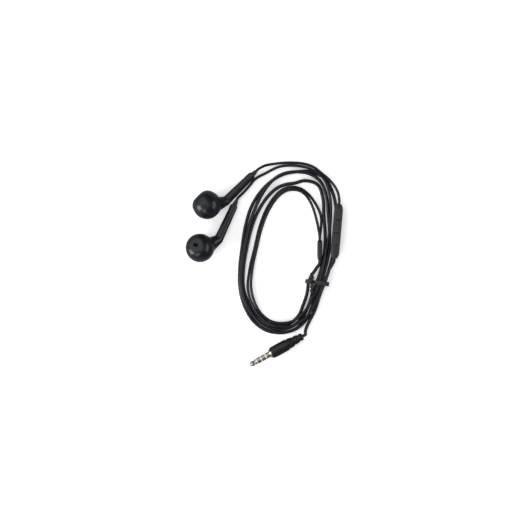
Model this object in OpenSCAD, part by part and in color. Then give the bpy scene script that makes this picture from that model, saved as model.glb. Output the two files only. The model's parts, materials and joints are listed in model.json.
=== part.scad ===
// Wired earphones with an inline remote, a Y splitter and a 3.5 mm plug.
// Millimetres. The set lies on a flat surface at z = 0, seen from +Z; the origin is
// under the middle of the two earbuds. The cable is wound by hand into an oval coil.
// Each earbud is drawn in its own frame: the middle of its head at the origin, the
// face towards +Z and the stem along +X, and is then laid down by lay_bud().

/* [Earbud shell] */
// Diameter of an earbud's head
head_d = 17.3; // [16.5:0.1:18]
// Height of the face above the middle of the head
face_h = 7.7; // [7.5:0.05:8]
// Radius of the nearly flat face
face_r = 4.0; // [3.6:0.1:4.4]
// Height of the seam between face cap and rear shell above the middle of the head
seam_h = 3.5; // [3.3:0.05:3.7]
// Wall thickness of cap and rear shell
shell_wall = 1.0; // [0.8:0.05:1.1]
// Distance from the middle of the head to the end of the stem
stem_length = 31.9; // [30:0.1:34]
// Diameter of the stem next to the head
stem_d = 5.7; // [5.4:0.1:6]
// Diameter of the stem at its end
stem_end_d = 4.7; // [4.5:0.1:5.1]
// Distance of the stem's axis behind the middle of the head
stem_back = 6.0; // [5.6:0.1:6.4]
// Distance of the stem's axis to the side of the middle of the head
stem_side = 6.1; // [5.8:0.1:6.4]
// Length of the sound slot in the face
slot_l = 3.4; // [3:0.1:4.4]
// Width of the sound slot
slot_w = 2.3; // [1.8:0.1:2.6]
// Length of the vent slot in the back of the rear shell
vent_l = 3.2; // [2.4:0.1:4]
// Width of the vent slot
vent_w = 1.2; // [0.8:0.1:1.6]
// Thickness of the sound mesh and the vent mesh
mesh_t = 0.2; // [0.15:0.05:0.3]

/* [Driver] */
// Thickness of the flange of the driver frame
flange_t = 1.0; // [0.8:0.1:1.1]
// Diameter of the yoke cup
yoke_d = 8.6; // [8:0.1:9]
// Height of the yoke cup
yoke_h = 3.2; // [2.9:0.1:3.5]
// Width of the gap between pole plate and yoke, in which the coil moves
air_gap = 0.85; // [0.8:0.01:0.95]
// Thickness of the magnet
magnet_t = 1.7; // [1.4:0.1:1.8]
// Thickness of the pole plate
pole_t = 0.6; // [0.5:0.1:0.8]
// Running gap on each side of the voice coil
coil_gap = 0.25; // [0.2:0.01:0.28]
// Thickness of the diaphragm
film_t = 0.12; // [0.1:0.01:0.2]

/* [Strain reliefs] */
// Length of the soft sleeve at the end of a stem
sleeve_l = 3.5; // [2.5:0.5:5]
// Diameter of the sleeve where it leaves the stem
sleeve_d = 3.2; // [2.9:0.1:3.6]

/* [Remote] */
// Length of the remote
remote_l = 33.0; // [31:0.5:36]
// Width of the remote
remote_w = 5.2; // [4.9:0.1:5.6]
// Thickness of the remote
remote_t = 4.4; // [4.2:0.1:4.8]
// Wall thickness of the remote's shells
remote_wall = 0.7; // [0.6:0.05:0.8]
// Width of the three buttons
button_w = 3.0; // [2.6:0.1:3.2]
// Length of the volume buttons
volume_l = 7.0; // [6:0.5:7.5]
// Length of the centre button
centre_l = 7.4; // [6:0.2:7.6]
// How far the buttons stand out of the shell
button_out = 0.3; // [0.25:0.05:0.4]
// How far a button travels
button_travel = 0.25; // [0.15:0.01:0.28]
// Clearance round each button
button_gap = 0.15; // [0.1:0.01:0.2]

/* [Splitter] */
// Length of the splitter
splitter_l = 12.0; // [11:0.5:14]
// Width of the splitter
splitter_w = 3.0; // [2.8:0.1:3.1]
// Height of the splitter, which lies on its edge
splitter_h = 4.8; // [4.6:0.1:5.2]

/* [Plug] */
// Diameter of the plug's shank
plug_d = 3.5; // [3.5:0.05:3.55]
// Length of the shank from its tip to the collar
plug_l = 14.0; // [13.8:0.1:14.4]
// Distance from the tip to the first insulator
ring_a = 4.8; // [4.6:0.1:5]
// Distance from the tip to the second insulator
ring_b = 7.8; // [7.6:0.1:8]
// Distance from the tip to the third insulator
ring_c = 10.9; // [10.7:0.1:11.1]
// Width of an insulator
insulator_w = 0.6; // [0.4:0.05:0.8]
// Diameter of the plastic core of the plug
core_d = 2.0; // [1.8:0.1:2.2]
// Diameter of the collar
collar_d = 6.0; // [5.6:0.1:6.4]
// Thickness of the collar
collar_t = 1.0; // [0.8:0.1:1.4]
// Diameter of the boot
boot_d = 7.1; // [6.8:0.1:7.4]
// Diameter of the boot at its cable end
boot_end_d = 4.2; // [3.9:0.1:4.6]
// Length of the boot
boot_l = 21.5; // [20:0.5:23]
// Width of the grooves round the boot
groove_w = 0.9; // [0.6:0.1:1.2]
// Depth of the grooves
groove_t = 0.35; // [0.25:0.05:0.5]

/* [Cables] */
// Diameter of the main cable
main_d = 2.1; // [1.9:0.05:2.1]
// Diameter of the two cables above the splitter
branch_d = 1.65; // [1.5:0.05:1.65]

/* [Twist tie] */
// Width of the tie's band
tie_w = 2.5; // [2:0.1:3]
// Thickness of the tie's band
tie_t = 0.5; // [0.4:0.05:0.6]
// Diameter of the tie's twisted tail
tail_d = 1.7; // [1.4:0.1:1.9]
// Length of the tie's twisted tail
tail_l = 14; // [10:1:16]

/* [Hidden] */

// clearances
seam_play = 0.05;      // tongue of the cap in the rear shell
driver_play = 0.1;     // driver cup in its seat
flange_play = 0.26;    // driver's flange in the tongue of the cap
press_play = 0.02;     // metal rings on the plug's core
cable_play = 0.05;     // cable in a bore
strand_gap = 0.3;      // tie and remote to the cables
rest_gap = 0.05;       // soft and loose pieces to the surface

// ---- earbud: derived sizes --------------------------------------------------
head_r = head_d / 2;
inner_r = head_r - shell_wall;
side_n = 2.4;                                  // fullness of the cap's side
face_sag = 0.2;                                // how far the face's edge lies below its middle
face_edge_h = face_h - face_sag;
cap_r = 0.974 * head_r;                        // the side's widest radius, met below the seam
nose_h = face_edge_h / pow(1 - pow(face_r / cap_r, side_n), 1 / side_n);
function side_r(z) = cap_r * pow(1 - pow(max(z, 0) / nose_h, side_n), 1 / side_n);
cap_steps = 12;
ceiling_h = face_edge_h - shell_wall;          // inside of the cap, above the driver
seam_r = side_r(seam_h);
tongue_l = 0.8;
tongue_in = seam_r - shell_wall;
tongue_r = tongue_in + 0.4;                    // outer radius of the cap's tongue

// driver, from the seat up
seat_h = seam_h - flange_t;                    // top of the ledge in the rear shell
ledge_t = 1.0;
driver_r = tongue_in - flange_play;
cup_r = driver_r - 0.9;
cup_wall = 0.45;
flange_top = seat_h + flange_t;
cup_l = 2.4;
cup_floor = seat_h - cup_l;                    // underside of the frame's floor
floor_t = 0.5;
yoke_r = yoke_d / 2;
yoke_wall = 0.45;
yoke_bottom = cup_floor + floor_t - yoke_h + 1.2;
magnet_bottom = yoke_bottom + yoke_wall;
pole_bottom = magnet_bottom + magnet_t;
magnet_r = yoke_r - yoke_wall - air_gap;
coil_in = magnet_r + coil_gap;
coil_out = yoke_r - yoke_wall - coil_gap;
film_r = driver_r - 0.25;
film_rest = 0.35;                              // diaphragm's rim above the flange at rest
film_h = flange_top + film_rest;
coil_bottom = pole_bottom - 0.1;

// stem and sleeve
stem_r = stem_d / 2;
stem_end_r = stem_end_d / 2;
neck_x = 9.5;                                  // where the neck meets the stem
neck_r = stem_r + 0.1;
stem_bore_r = stem_end_r - shell_wall + 0.35;
sleeve_seat = 3.0;                             // how deep the sleeve sits in the stem
stem_axis = [0, -stem_side, -stem_back];
wire_d = 0.7;

middle = [1.379, 0.575, 0];     // middle of the two earbuds, where the origin is put
// how the two earbuds lie: [roll about the stem, pitch, turn, x, y, height of the head]
bud_pose = [
  [-21, 4.9, 65.2, -11.5, -18.65, head_r],
  [-90, 0, 44.5, -7.3, 7.15, max(head_r, stem_side + neck_r + 0.03)]];
LEFT = 0;
RIGHT = 1;
function flip(s, p) = s == RIGHT ? [p[0], -p[1], p[2]] : p;
function rot_x(p, a) = [p[0], p[1] * cos(a) - p[2] * sin(a), p[1] * sin(a) + p[2] * cos(a)];
function rot_y(p, a) = [p[0] * cos(a) + p[2] * sin(a), p[1], -p[0] * sin(a) + p[2] * cos(a)];
function rot_z(p, a) = [p[0] * cos(a) - p[1] * sin(a), p[0] * sin(a) + p[1] * cos(a), p[2]];
function laid(s, p) = let (b = bud_pose[s])
  rot_z(rot_y(rot_x(flip(s, p), b[0]), b[1]), b[2]) + [b[3], b[4], b[5]];
module lay_bud(s) {
  b = bud_pose[s];
  translate([b[3], b[4], b[5]] - middle) rotate([b[0], b[1], b[2]])
    mirror([0, s == RIGHT ? 1 : 0, 0]) children();
}

// ---- earbud: pieces ---------------------------------------------------------
module tube_ring(r_out, r_in, z0, z1) {
  translate([0, 0, z0]) difference() {
    cylinder(h = z1 - z0, r = r_out, $fn = 72);
    translate([0, 0, -1]) cylinder(h = z1 - z0 + 2, r = r_in, $fn = 72);
  }
}
module slot(l, w, h) {
  translate([-w / 2, -(l - w) / 2, 0]) cube([w, l - w, h]);
  for (s = [-1, 1]) translate([0, s * (l - w) / 2, 0]) cylinder(h = h, d = w, $fn = 32);
}
module face_cap() {
  side = [for (i = [0:cap_steps]) let (z = seam_h + (face_edge_h - seam_h) * i / cap_steps)
    [side_r(z), z]];
  face = [for (i = [1:5]) let (r = face_r * (1 - i / 5)) [r, face_h - face_sag * pow(r / face_r, 2)]];
  wall = [for (i = [cap_steps:-1:1]) let (z = seam_h + (ceiling_h - seam_h) * i / cap_steps)
    [side_r(z) - shell_wall, z]];
  tongue = [[tongue_in, seam_h - tongue_l], [tongue_r, seam_h - tongue_l], [tongue_r, seam_h]];
  difference() {
    rotate_extrude($fn = 96) polygon(concat(side, face, [[0, ceiling_h]], wall, tongue));
    translate([0, 0, ceiling_h - 1]) slot(slot_l, slot_w, face_h - ceiling_h + 2);
  }
}
module ball_below(r, z) {
  intersection() {
    sphere(r, $fn = 96);
    translate([-r, -r, -r - 1]) cube([2 * r, 2 * r, r + 1 + z]);
  }
}
module cone_between(a, b, ra, rb) {
  v = b - a;
  translate(a) rotate([0, acos(v[2] / norm(v)), atan2(v[1], v[0])])
    cylinder(h = norm(v), r1 = ra, r2 = rb, $fn = 64);
}
neck_a = [2.7, -0.4 * stem_side, -0.44 * stem_back];
neck_ra = 0.62 * head_r;
neck_b = [neck_x, -stem_side, -stem_back];
module stem_outline(grow) {
  cone_between(neck_a, neck_b, neck_ra + grow, neck_r + grow);
  translate(neck_b) sphere(neck_r + 0.02 + grow, $fn = 64);
}
module rear_shell() {
  difference() {
    union() {
      ball_below(head_r, seam_h);
      stem_outline(0);
      translate(neck_b) rotate([0, 90, 0])
        cylinder(h = stem_length - neck_x, r1 = stem_r, r2 = stem_end_r, $fn = 64);
    }
    difference() {
      ball_below(inner_r, seam_h + 1);
      tube_ring(head_r, cup_r + driver_play, seat_h - ledge_t, seat_h);
    }
    tube_ring(tongue_r + seam_play, 1, seam_h - tongue_l - seam_play, seam_h + 1);
    stem_outline(-shell_wall);
    translate(neck_b) rotate([0, 90, 0]) cylinder(h = stem_length, r = stem_bore_r, $fn = 48);
    translate([0, 0, -head_r - 1]) slot(vent_l, vent_w, shell_wall + 2);
    translate([-head_r, -head_r, seam_h]) cube([2 * head_r, 2 * head_r, head_r]);
  }
}
module stem_sleeve() {
  x0 = stem_length - sleeve_seat;
  translate([x0, -stem_side, -stem_back]) rotate([0, 90, 0]) difference() {
    union() {
      cylinder(h = sleeve_seat, r = stem_bore_r - cable_play, $fn = 48);
      translate([0, 0, sleeve_seat])
        cylinder(h = sleeve_l, d1 = sleeve_d, d2 = branch_d + 0.5, $fn = 48);
      translate([0, 0, sleeve_seat]) cylinder(h = 0.5, r = stem_end_r - 0.3, $fn = 48);
    }
    translate([0, 0, -1]) cylinder(h = sleeve_seat + sleeve_l + 2, d = wire_d * 2, $fn = 32);
  }
}
module sound_mesh() {
  translate([0, 0, ceiling_h - mesh_t]) cylinder(h = mesh_t, d = slot_l + 1.4, $fn = 48);
}
module vent_mesh() {
  translate([0, 0, -sqrt(inner_r * inner_r - pow(vent_l / 2 + 0.4, 2))])
    cylinder(h = mesh_t, r = vent_l / 2 + 0.35, $fn = 48);
}
module driver_frame() {
  tube_ring(driver_r, cup_r - cup_wall, seat_h, flange_top);
  tube_ring(cup_r, cup_r - cup_wall, cup_floor, seat_h);
  tube_ring(cup_r, yoke_r, cup_floor, cup_floor + floor_t);
}
module yoke_cup() {
  tube_ring(yoke_r, yoke_r - yoke_wall, yoke_bottom, yoke_bottom + yoke_h);
  translate([0, 0, yoke_bottom]) cylinder(h = yoke_wall, r = yoke_r, $fn = 72);
}
module magnet() {
  translate([0, 0, magnet_bottom]) cylinder(h = magnet_t, r = magnet_r, $fn = 64);
}
module pole_plate() {
  translate([0, 0, pole_bottom]) cylinder(h = pole_t, r = magnet_r, $fn = 64);
}
module voice_coil() {
  tube_ring(coil_out, coil_in, coil_bottom, film_h);
}
module diaphragm() {
  dome_up = 0.7;
  roll_up = 0.4;
  mid_r = (coil_out + film_r - 0.5) / 2;
  top = [for (i = [0:6]) let (r = coil_in * i / 6)
    [r, film_h + film_t + dome_up * (1 - pow(r / coil_in, 2))]];
  roll = [for (i = [0:6]) let (k = i / 3 - 1)
    [mid_r + k * (mid_r - coil_out), film_h + film_t + roll_up * (1 - k * k)]];
  outline = concat(top, roll, [[film_r, film_h + film_t]]);
  under = [for (i = [len(outline) - 1:-1:0]) outline[i] - [0, film_t]];
  rotate_extrude($fn = 72) polygon(concat(outline, under));
}
module damping_paper() {
  tube_ring(cup_r - 0.2, yoke_r + 0.2, cup_floor - 0.2, cup_floor);
}
crimp_x = stem_length - sleeve_seat - 3.5;
module cable_crimp() {
  translate([crimp_x, -stem_side, -stem_back]) rotate([0, 90, 0]) difference() {
    cylinder(h = 3.5, r = stem_bore_r - 0.1, $fn = 40);
    translate([0, 0, -1]) cylinder(h = 6, d = wire_d * 2, $fn = 32);
  }
}
module inner_wires() {
  axis_y = -stem_side;
  axis_z = -stem_back;
  end = [stem_length + sleeve_l, axis_y, axis_z];
  floor_z = yoke_bottom - wire_d / 2 - 0.1;
  sweep([end, [crimp_x + 1, axis_y, axis_z], [1.5 * neck_x, axis_y, axis_z], [neck_x, axis_y, axis_z],
    [5.5, axis_y + 1.6, axis_z + 1.2], [2.5, axis_y + 3.4, floor_z - 0.3],
    [0, -1.2, floor_z], [-1.0, 0, floor_z]], wire_d, 8);
}

// ---- swept tubes --------------------------------------------------------------
function unit(v) = v / norm(v);
function along(p, i) = let (n = len(p) - 1)
  i == 0 ? unit(p[1] - p[0]) : i == n ? unit(p[n] - p[n - 1])
  : unit(unit(p[i] - p[i - 1]) + unit(p[i + 1] - p[i]));
function ring(c, t, r, sides) = let (a = unit(cross([0, 0, 1], t)), b = cross(t, a))
  [for (k = [0:sides - 1]) c + r * (cos(360 * (k + 0.5) / sides) * a + sin(360 * (k + 0.5) / sides) * b)];
module sweep(p, d, sides) {
  rings = [for (i = [0:len(p) - 1]) each ring(p[i], along(p, i), d / 2, sides)];
  n = len(p);
  walls = [for (i = [0:n - 2], k = [0:sides - 1]) let (m = (k + 1) % sides, a = i * sides)
    each [[a + k, a + m, a + sides + m], [a + k, a + sides + m, a + sides + k]]];
  caps = [for (k = [1:sides - 2]) each [[0, k + 1, k],
    [(n - 1) * sides, (n - 1) * sides + k, (n - 1) * sides + k + 1]]];
  polyhedron(points = rings, faces = [for (f = concat(walls, caps)) [f[0], f[2], f[1]]]);
}

// ---- the coil -----------------------------------------------------------------
// Base oval on the surface: middle, half width, half height, lean and fullness.
oval_x = 41.8;
oval_y = -20.8;
oval_a = 25.0;
oval_b = 46.5;
oval_lean = -5;
oval_n = 2.15;
function arm(c, r) = r * sign(c) * pow(abs(c), 2 / oval_n);
function oval(a) = let (x = arm(cos(a), oval_a), y = arm(sin(a), oval_b))
  [oval_x + x * cos(oval_lean) - y * sin(oval_lean), oval_y + x * sin(oval_lean) + y * cos(oval_lean)];
function outward(a) = let (v = oval(a + 0.5) - oval(a - 0.5)) [v[1], -v[0]] / norm(v);
// Where each turn lies, at twelve stations of 30 degrees: [distance outside the base
// oval, height]. A turn of the main cable starts at the tie, at 300 degrees.
main_turns = [
  [[3.2, 1.8], [-0.05, 2.2], [3.4, 1.3], [5.0, 1.1], [5.0, 1.1], [2.3, 1.1],
   [2.1, 1.1], [3.5, 1.1], [3.2, 1.1], [6.0, 1.1], [5.6, 1.1], [2.9, 1.1]],
  [[0.5, 1.1], [-2.75, 2.2], [0.8, 1.3], [2.4, 1.1], [2.8, 3.3], [2.2, 3.7],
   [2.0, 3.7], [0.9, 3.0], [1.8, 3.4], [4.6, 3.4], [2.8, 2.4], [0.2, 1.1]],
  [[-2.22, 1.1], [-5.45, 2.2], [-1.8, 1.3], [-1.2, 1.1], [0.0, 1.1], [-4.2, 1.1],
   [-3.2, 1.1], [-1.4, 1.1], [0.4, 1.1], [3.1, 1.1], [0.2, 1.1], [-2.7, 1.1]],
  [[-5.0, 1.1]]];
main_start = -60;
// The two cables above the splitter run side by side from 30 degrees.
branch_start = 30;
right_turn = [[-4.4, 0.9], [-5.8, 0.9], [-7.0, 0.9], [-6.0, 0.9], [-5.1, 0.9], [-3.7, 0.9],
  [0.7, 2.2], [0.2, 3.6], [-1.3, 3.4], [-0.8, 3.5], [-1.3, 4.5]];
left_turn = [[-7.0, 2.1], [-7.6, 2.6], [-8.8, 2.1], [-7.8, 2.1], [-6.6, 2.5], [-4.4, 3.1],
  [-1.3, 2.9], [-1.9, 2.9], [-3.7, 3.4], [-3.5, 3.5], [-3.9, 4.5], [-2.7, 3.6], [1.6, 3.9],
  [6.3, 3.5], [4.5, 1.6], [7.0, 0.9]];
station = 30;
rings_per_station = 2;
function row(p, i) = p[min(max(i, 0), len(p) - 1)];
function before(p, i) = i > 0 ? p[i - 1] : 2 * p[0] - p[1];
function after(p, i) = i < len(p) - 1 ? p[i + 1] : 2 * p[len(p) - 1] - p[len(p) - 2];
function blend(p, i, t) = let (a = before(p, i), b = p[i], c = row(p, i + 1), d = after(p, i + 1))
  0.5 * (2 * b + (c - a) * t + (2 * a - 5 * b + 4 * c - d) * t * t + (3 * b - a - 3 * c + d) * t * t * t);
function laid_turn(p, start, low) = [for (i = [0:len(p) - 2], k = [0:rings_per_station - 1])
    turn_point(blend(p, i, k / rings_per_station), start + station * (i + k / rings_per_station), low),
  turn_point(p[len(p) - 1], start + station * (len(p) - 1), low)];
function turn_point(q, a, low) = let (o = oval(a), w = outward(a))
  [o[0] + q[0] * w[0], o[1] + q[0] * w[1], max(q[1], low)];
main_stations = [for (r = main_turns) each r];

// ---- places of the pieces on the cable ------------------------------------------
plug_tip_at = [18.2, -89.5];
plug_turn = 28.8;
plug_h = boot_d / 2 + rest_gap;
function on_plug(x) = [plug_tip_at[0] + x * cos(plug_turn), plug_tip_at[1] + x * sin(plug_turn), plug_h];
boot_end = plug_l + collar_t + boot_l;
remote_at = [70.8, -8.6];
remote_turn = -4.9;
remote_h = 5.1;
function on_remote(y) = [remote_at[0] - y * sin(remote_turn), remote_at[1] + y * cos(remote_turn), remote_h];
splitter_at = [60.7, -19.9];
splitter_low = rest_gap;
function on_splitter(y, z) = [splitter_at[0], splitter_at[1] + y, z];
main_entry_h = splitter_low + splitter_h / 2;
right_exit_h = main_entry_h - branch_d / 2 - 0.23;
left_exit_h = main_entry_h + branch_d / 2 + 0.23;
function sleeve_end(s) = laid(s, [stem_length + sleeve_l, -stem_side, -stem_back]);
function sleeve_dir(s) = sleeve_end(s) - laid(s, [stem_length + sleeve_l - 1, -stem_side, -stem_back]);

// ---- cable routes ---------------------------------------------------------------
main_coil_turns = laid_turn(main_stations, main_start, main_d / 2 + 0.02);
main_first = main_coil_turns[0];
main_dir = unit(main_coil_turns[1] - main_first);
lead_dir = [cos(plug_turn), sin(plug_turn), 0];
main_lead_route = concat(
  [on_plug(boot_end), on_plug(boot_end) + main_d * lead_dir],
  [[51.9, -69.2, 3.1]],
  [main_first - main_d * main_dir, main_first]);
main_coil_route = concat(
  [main_first, main_first + main_d * main_dir],
  [for (i = [1:len(main_coil_turns) - 1]) main_coil_turns[i]],
  [[50.4, -53.8, 1.1], [52.0, -49.6, 1.4], [53.2, -45.0, 2.1], [53.7, -40.6, 2.2],
   [55.0, -36.4, 2.2], [57.5, -32.6, 2.3], [59.4, -29.9, 2.4]],
  [on_splitter(-splitter_l / 2 - main_d, main_entry_h), on_splitter(-splitter_l / 2, main_entry_h)]);
right_coil_turns = laid_turn(right_turn, branch_start, branch_d / 2 + 0.02);
left_turns = laid_turn(left_turn, branch_start, branch_d / 2 + 0.02);
left_split = 24;               // rings of the left cable that belong to the coil's node
right_coil_route = concat(
  [on_splitter(splitter_l / 2, right_exit_h), on_splitter(splitter_l / 2 + branch_d, right_exit_h)],
  [[61.3, -7.8, 1.2]],
  [for (i = [0:len(right_coil_turns) - 1]) right_coil_turns[i]],
  [[64.3, -36.2, 5.0], [66.7, -31.0, 5.1]],
  [on_remote(-remote_l / 2 - branch_d), on_remote(-remote_l / 2)]);
left_coil_end = left_turns[left_split];
left_coil_dir = unit(left_turns[left_split + 1] - left_coil_end);
left_coil_route = concat(
  [on_splitter(splitter_l / 2, left_exit_h), on_splitter(splitter_l / 2 + branch_d, left_exit_h)],
  [[60.0, -7.8, 3.1]],
  [for (i = [0:left_split - 1]) left_turns[i]],
  [left_coil_end - branch_d * left_coil_dir, left_coil_end]);
left_lead_route = concat(
  [left_coil_end, left_coil_end + branch_d * left_coil_dir],
  [for (i = [left_split + 1:len(left_turns) - 1]) left_turns[i]],
  [[21.7, 23.1, 1.0], [18.0, 18.7, 1.2], [14.5, 14.8, 1.6]],
  [sleeve_end(LEFT) + branch_d * sleeve_dir(LEFT), sleeve_end(LEFT)]);
right_lead_route = concat(
  [on_remote(remote_l / 2), on_remote(remote_l / 2 + branch_d)],
  [[71.6, 14.4, 4.6], [70.0, 17.9, 3.9], [67.8, 21.0, 3.0], [64.9, 23.9, 2.0], [61.3, 26.9, 1.2],
   [57.1, 29.9, 1.0], [51.7, 31.6, 1.1], [46.4, 32.1, 1.6], [41.4, 32.2, 2.1], [36.6, 31.9, 2.5],
   [31.6, 31.3, 2.0], [27.4, 30.6, 2.3]],
  [sleeve_end(RIGHT) + branch_d * sleeve_dir(RIGHT), sleeve_end(RIGHT)]);

// Least gap of a wound cable to itself, measured on points along it.
fine = 6;
function to_piece(q, a, b) = let (v = b - a, t = min(max((q - a) * v / (v * v), 0), 1)) norm(q - a - t * v);
function least_gap(p, d, apart) = let (n = len(p))
  min([for (i = [0:n - 2 - apart], k = [0:fine - 1]) let (q = p[i] + (p[i + 1] - p[i]) * k / fine)
    min([for (j = [i + apart:n - 2]) to_piece(q, p[j], p[j + 1])])]) - d;
module lay_cable(route, d, sides) {
  translate(-middle) sweep(route, d, sides);
}
module wound(route, d, label) {
  echo(str(label, ": least gap to itself ", least_gap(route, d, 6), " mm"));
  lay_cable(route, d, 6);
}

// ---- remote -----------------------------------------------------------------------
module lay_remote() {
  translate([remote_at[0], remote_at[1], remote_h] - middle) rotate([0, 0, remote_turn]) children();
}
remote_edge = 1.5;
remote_taper = 3.0;
remote_nose = 1.5;
module remote_solid(off) {
  w = remote_w / 2 - remote_edge;
  t = remote_t / 2 - remote_edge;
  y = remote_l / 2 - remote_taper;
  hull() {
    for (sx = [-1, 1], sz = [-1, 1], sy = [-1, 1])
      translate([sx * w, sy * y, sz * t]) sphere(remote_edge - off, $fn = 24);
    for (s = [-1, 1]) translate([0, s * (remote_l / 2 - 0.01 - off), 0]) rotate([90, 0, 0])
      cylinder(h = 0.02, r = remote_nose - off * 0.5, center = true, $fn = 24);
  }
}
up_y = 10.6;
centre_y = up_y - volume_l / 2 - centre_l / 2 - 0.6;
down_y = centre_y - volume_l / 2 - centre_l / 2 - 0.6;
module window(y, l) {
  translate([-button_w / 2 - button_gap, y - l / 2 - button_gap, 0])
    cube([button_w + 2 * button_gap, l + 2 * button_gap, remote_t]);
}
mic_y = -remote_l / 2 + 5.2;
mic_r = 1.1;
module remote_front_shell() {
  difference() {
    remote_solid(0);
    remote_solid(remote_wall);
    translate([-remote_w, -remote_l, -remote_t]) cube([2 * remote_w, 2 * remote_l, remote_t]);
    window(up_y, volume_l);
    window(centre_y, centre_l);
    window(down_y, volume_l);
    translate([0, mic_y, 0]) cylinder(h = remote_t, r = 0.35, $fn = 24);
  }
}
module remote_rear_shell() {
  difference() {
    remote_solid(0);
    remote_solid(remote_wall);
    translate([-remote_w, -remote_l, 0]) cube([2 * remote_w, 2 * remote_l, remote_t]);
  }
}
board_t = 0.6;
board_top = -0.45;
dome_t = 0.35;
button_foot = board_top + dome_t + button_travel + 0.05;
button_top = remote_t / 2 + button_out;
rail = 0.2;                                    // how far the button's foot is wider than its top
module button(y, l) {
  translate([-button_w / 2, y - l / 2, button_foot]) cube([button_w, l, button_top - button_foot]);
  translate([-button_w / 2 - rail, y - l / 2 + 1, button_foot])
    cube([button_w + 2 * rail, l - 2, remote_t / 2 - remote_wall - 0.45 - button_foot]);
}
module volume_up_button() { button(up_y, volume_l); }
module centre_button() { button(centre_y, centre_l); }
module volume_down_button() { button(down_y, volume_l); }
module circuit_board() {
  w = remote_w - 2 * remote_wall - 0.4;
  translate([-w / 2, -remote_l / 2 + remote_taper, board_top - board_t])
    cube([w, remote_l - 2 * remote_taper, board_t]);
  translate([-0.6, -remote_l / 2 + remote_taper, -remote_t / 2 + remote_wall + seam_play])
    cube([1.2, remote_l - 2 * remote_taper, remote_t / 2 - remote_wall - seam_play + board_top - board_t]);
}
module dome_switches() {
  for (y = [up_y, centre_y, down_y]) translate([0, y, board_top])
    cylinder(h = dome_t, r1 = 1.3, r2 = 0.7, $fn = 32);
}
module mic_capsule() {
  translate([0, mic_y, board_top]) cylinder(h = 1.1, r = mic_r, $fn = 32);
}
module mic_gasket() {
  translate([0, mic_y, board_top + 1.1]) difference() {
    cylinder(h = remote_t / 2 - remote_wall - board_top - 1.1 - 0.15, r = mic_r, $fn = 32);
    translate([0, 0, -1]) cylinder(h = 4, r = 0.5, $fn = 24);
  }
}

// ---- splitter -----------------------------------------------------------------------
module lay_splitter() {
  translate([splitter_at[0], splitter_at[1], main_entry_h] - middle) children();
}
splitter_edge = 1.3;
module splitter_solid() {
  y = splitter_l / 2;
  hull() {
    for (sy = [-1, 1], sz = [-1, 1])
      translate([0, sy * (y - 2.6), sz * (splitter_h / 2 - splitter_edge)])
        scale([splitter_w / 2 / splitter_edge, 1, 1]) sphere(splitter_edge, $fn = 24);
    translate([0, 0.01 - y, 0]) rotate([90, 0, 0]) cylinder(h = 0.02, r = splitter_edge - 0.1, center = true, $fn = 24);
    for (z = [right_exit_h, left_exit_h]) translate([0, y - 0.01, z - main_entry_h]) rotate([90, 0, 0])
      cylinder(h = 0.02, r = branch_d / 2 + 0.25, center = true, $fn = 24);
  }
}
module splitter_cavity() {
  translate([-0.7, -splitter_l / 2 + 2, -1.2]) cube([1.4, splitter_l - 4, 2.4]);
}
module splitter_half(side) {
  difference() {
    splitter_solid();
    splitter_cavity();
    translate([side > 0 ? -splitter_w : 0, -splitter_l, -splitter_h])
      cube([splitter_w, 2 * splitter_l, 2 * splitter_h]);
  }
}
module splitter_crimp() {
  translate([-0.6, -splitter_l / 2 + 2.2, -1.1]) cube([1.2, splitter_l - 4.4, 2.2]);
}

// ---- plug --------------------------------------------------------------------------------
module lay_plug() {
  translate([plug_tip_at[0], plug_tip_at[1], plug_h] - middle) rotate([0, 0, plug_turn]) rotate([0, 90, 0]) children();
}
plug_r = plug_d / 2;
core_r = core_d / 2;
waist_r = plug_r - 0.45;
core_back = 0.37 * boot_l;                     // how far the core reaches into the boot
module contact(from, to) {
  difference() {
    translate([0, 0, from]) cylinder(h = to - from, r = plug_r, $fn = 64);
    translate([0, 0, from - 1]) cylinder(h = to - from + 2, r = core_r + press_play, $fn = 48);
  }
}
module plug_tip() {
  difference() {
    rotate_extrude($fn = 64) polygon([[0, 0], [0.5, 0.1], [0.95, 0.5], [plug_r - 0.1, 2.0], [plug_r - 0.1, 2.5],
      [waist_r, 3.4], [waist_r, 3.6], [plug_r, ring_a - 0.5], [plug_r, ring_a], [0, ring_a]]);
    translate([0, 0, 3]) cylinder(h = 4, r = core_r + press_play, $fn = 48);
  }
}
module plug_front_ring() { contact(ring_a + insulator_w, ring_b); }
module plug_rear_ring() { contact(ring_b + insulator_w, ring_c); }
module plug_sleeve() {
  difference() {
    union() {
      translate([0, 0, ring_c + insulator_w]) cylinder(h = plug_l - ring_c - insulator_w + 0.1, r = plug_r, $fn = 64);
      translate([0, 0, plug_l]) cylinder(h = collar_t, r1 = plug_r + 0.5, r2 = collar_d / 2, $fn = 64);
    }
    translate([0, 0, ring_c - 1]) cylinder(h = plug_l, r = core_r + press_play, $fn = 48);
  }
}
module plug_insulators() {
  for (z = [ring_a, ring_b, ring_c]) difference() {
    translate([0, 0, z]) cylinder(h = insulator_w, r = plug_r, $fn = 64);
    translate([0, 0, z - 1]) cylinder(h = insulator_w + 2, r = core_r + press_play, $fn = 48);
  }
}
module plug_core() {
  translate([0, 0, 3.2]) cylinder(h = plug_l + collar_t - 3.2, r = core_r, $fn = 48);
  translate([0, 0, plug_l + collar_t]) cylinder(h = core_back, r = core_r + 0.9, $fn = 48);
}
boot_ends = [boot_end_d / 2, (boot_d - boot_end_d) / 2];
boot_line = [for (q = [[0, 0.62], [0.04, 0.9], [0.12, 1], [0.44, 1], [0.56, 0.83], [0.7, 0.48], [0.84, 0.24],
  [0.97, 0.05], [1, -0.08]]) [q[0] * boot_l, boot_ends[0] + q[1] * boot_ends[1]]];
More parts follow.
